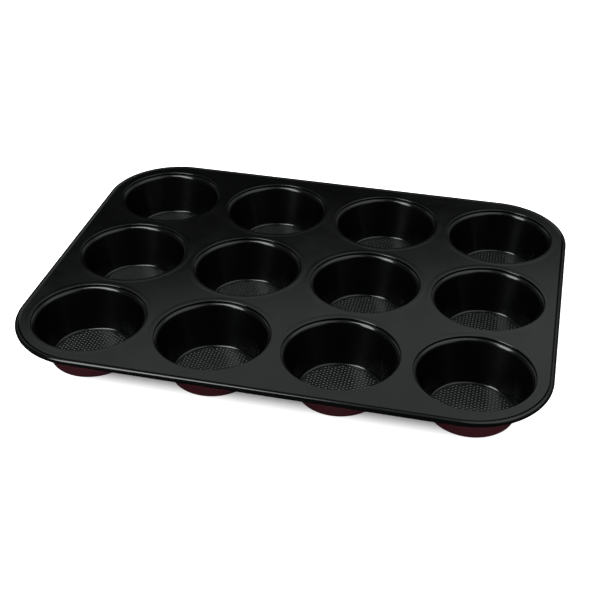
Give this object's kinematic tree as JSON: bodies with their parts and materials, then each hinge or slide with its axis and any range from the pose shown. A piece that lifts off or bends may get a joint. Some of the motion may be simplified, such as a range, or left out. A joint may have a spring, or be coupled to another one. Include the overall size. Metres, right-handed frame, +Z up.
{
  "type": "muffin tin",
  "caption": "Rectangular steel baking tin with a flat deck, rolled wired rim and rows of round tapered flat-bottomed cups seamed into the deck, black non-stick inside and burgundy underneath.",
  "frame": {"origin": "centre of the plane the cups stand on, midway along the length and the width", "axes": "+X along the length (the rows of four cups), +Y along the width towards the rear, +Z up out of the cup mouths"},
  "size_m": [0.35, 0.27, 0.0303],
  "materials": {
    "nonstick_black": "satin",
    "burgundy_enamel": "satin",
    "steel_wire": "satin"
  },
  "bodies": {
    "root": {"pan_frame": "nonstick_black", "rim_wire": "steel_wire", "cup_r1c1": "nonstick_black", "cup_r1c2": "nonstick_black", "cup_r1c3": "nonstick_black", "cup_r1c4": "nonstick_black", "cup_r2c1": "nonstick_black", "cup_r2c2": "nonstick_black", "cup_r2c3": "nonstick_black", "cup_r2c4": "nonstick_black", "cup_r3c1": "nonstick_black", "cup_r3c2": "nonstick_black", "cup_r3c3": "nonstick_black", "cup_r3c4": "nonstick_black"}
  },
  "joints": []
}
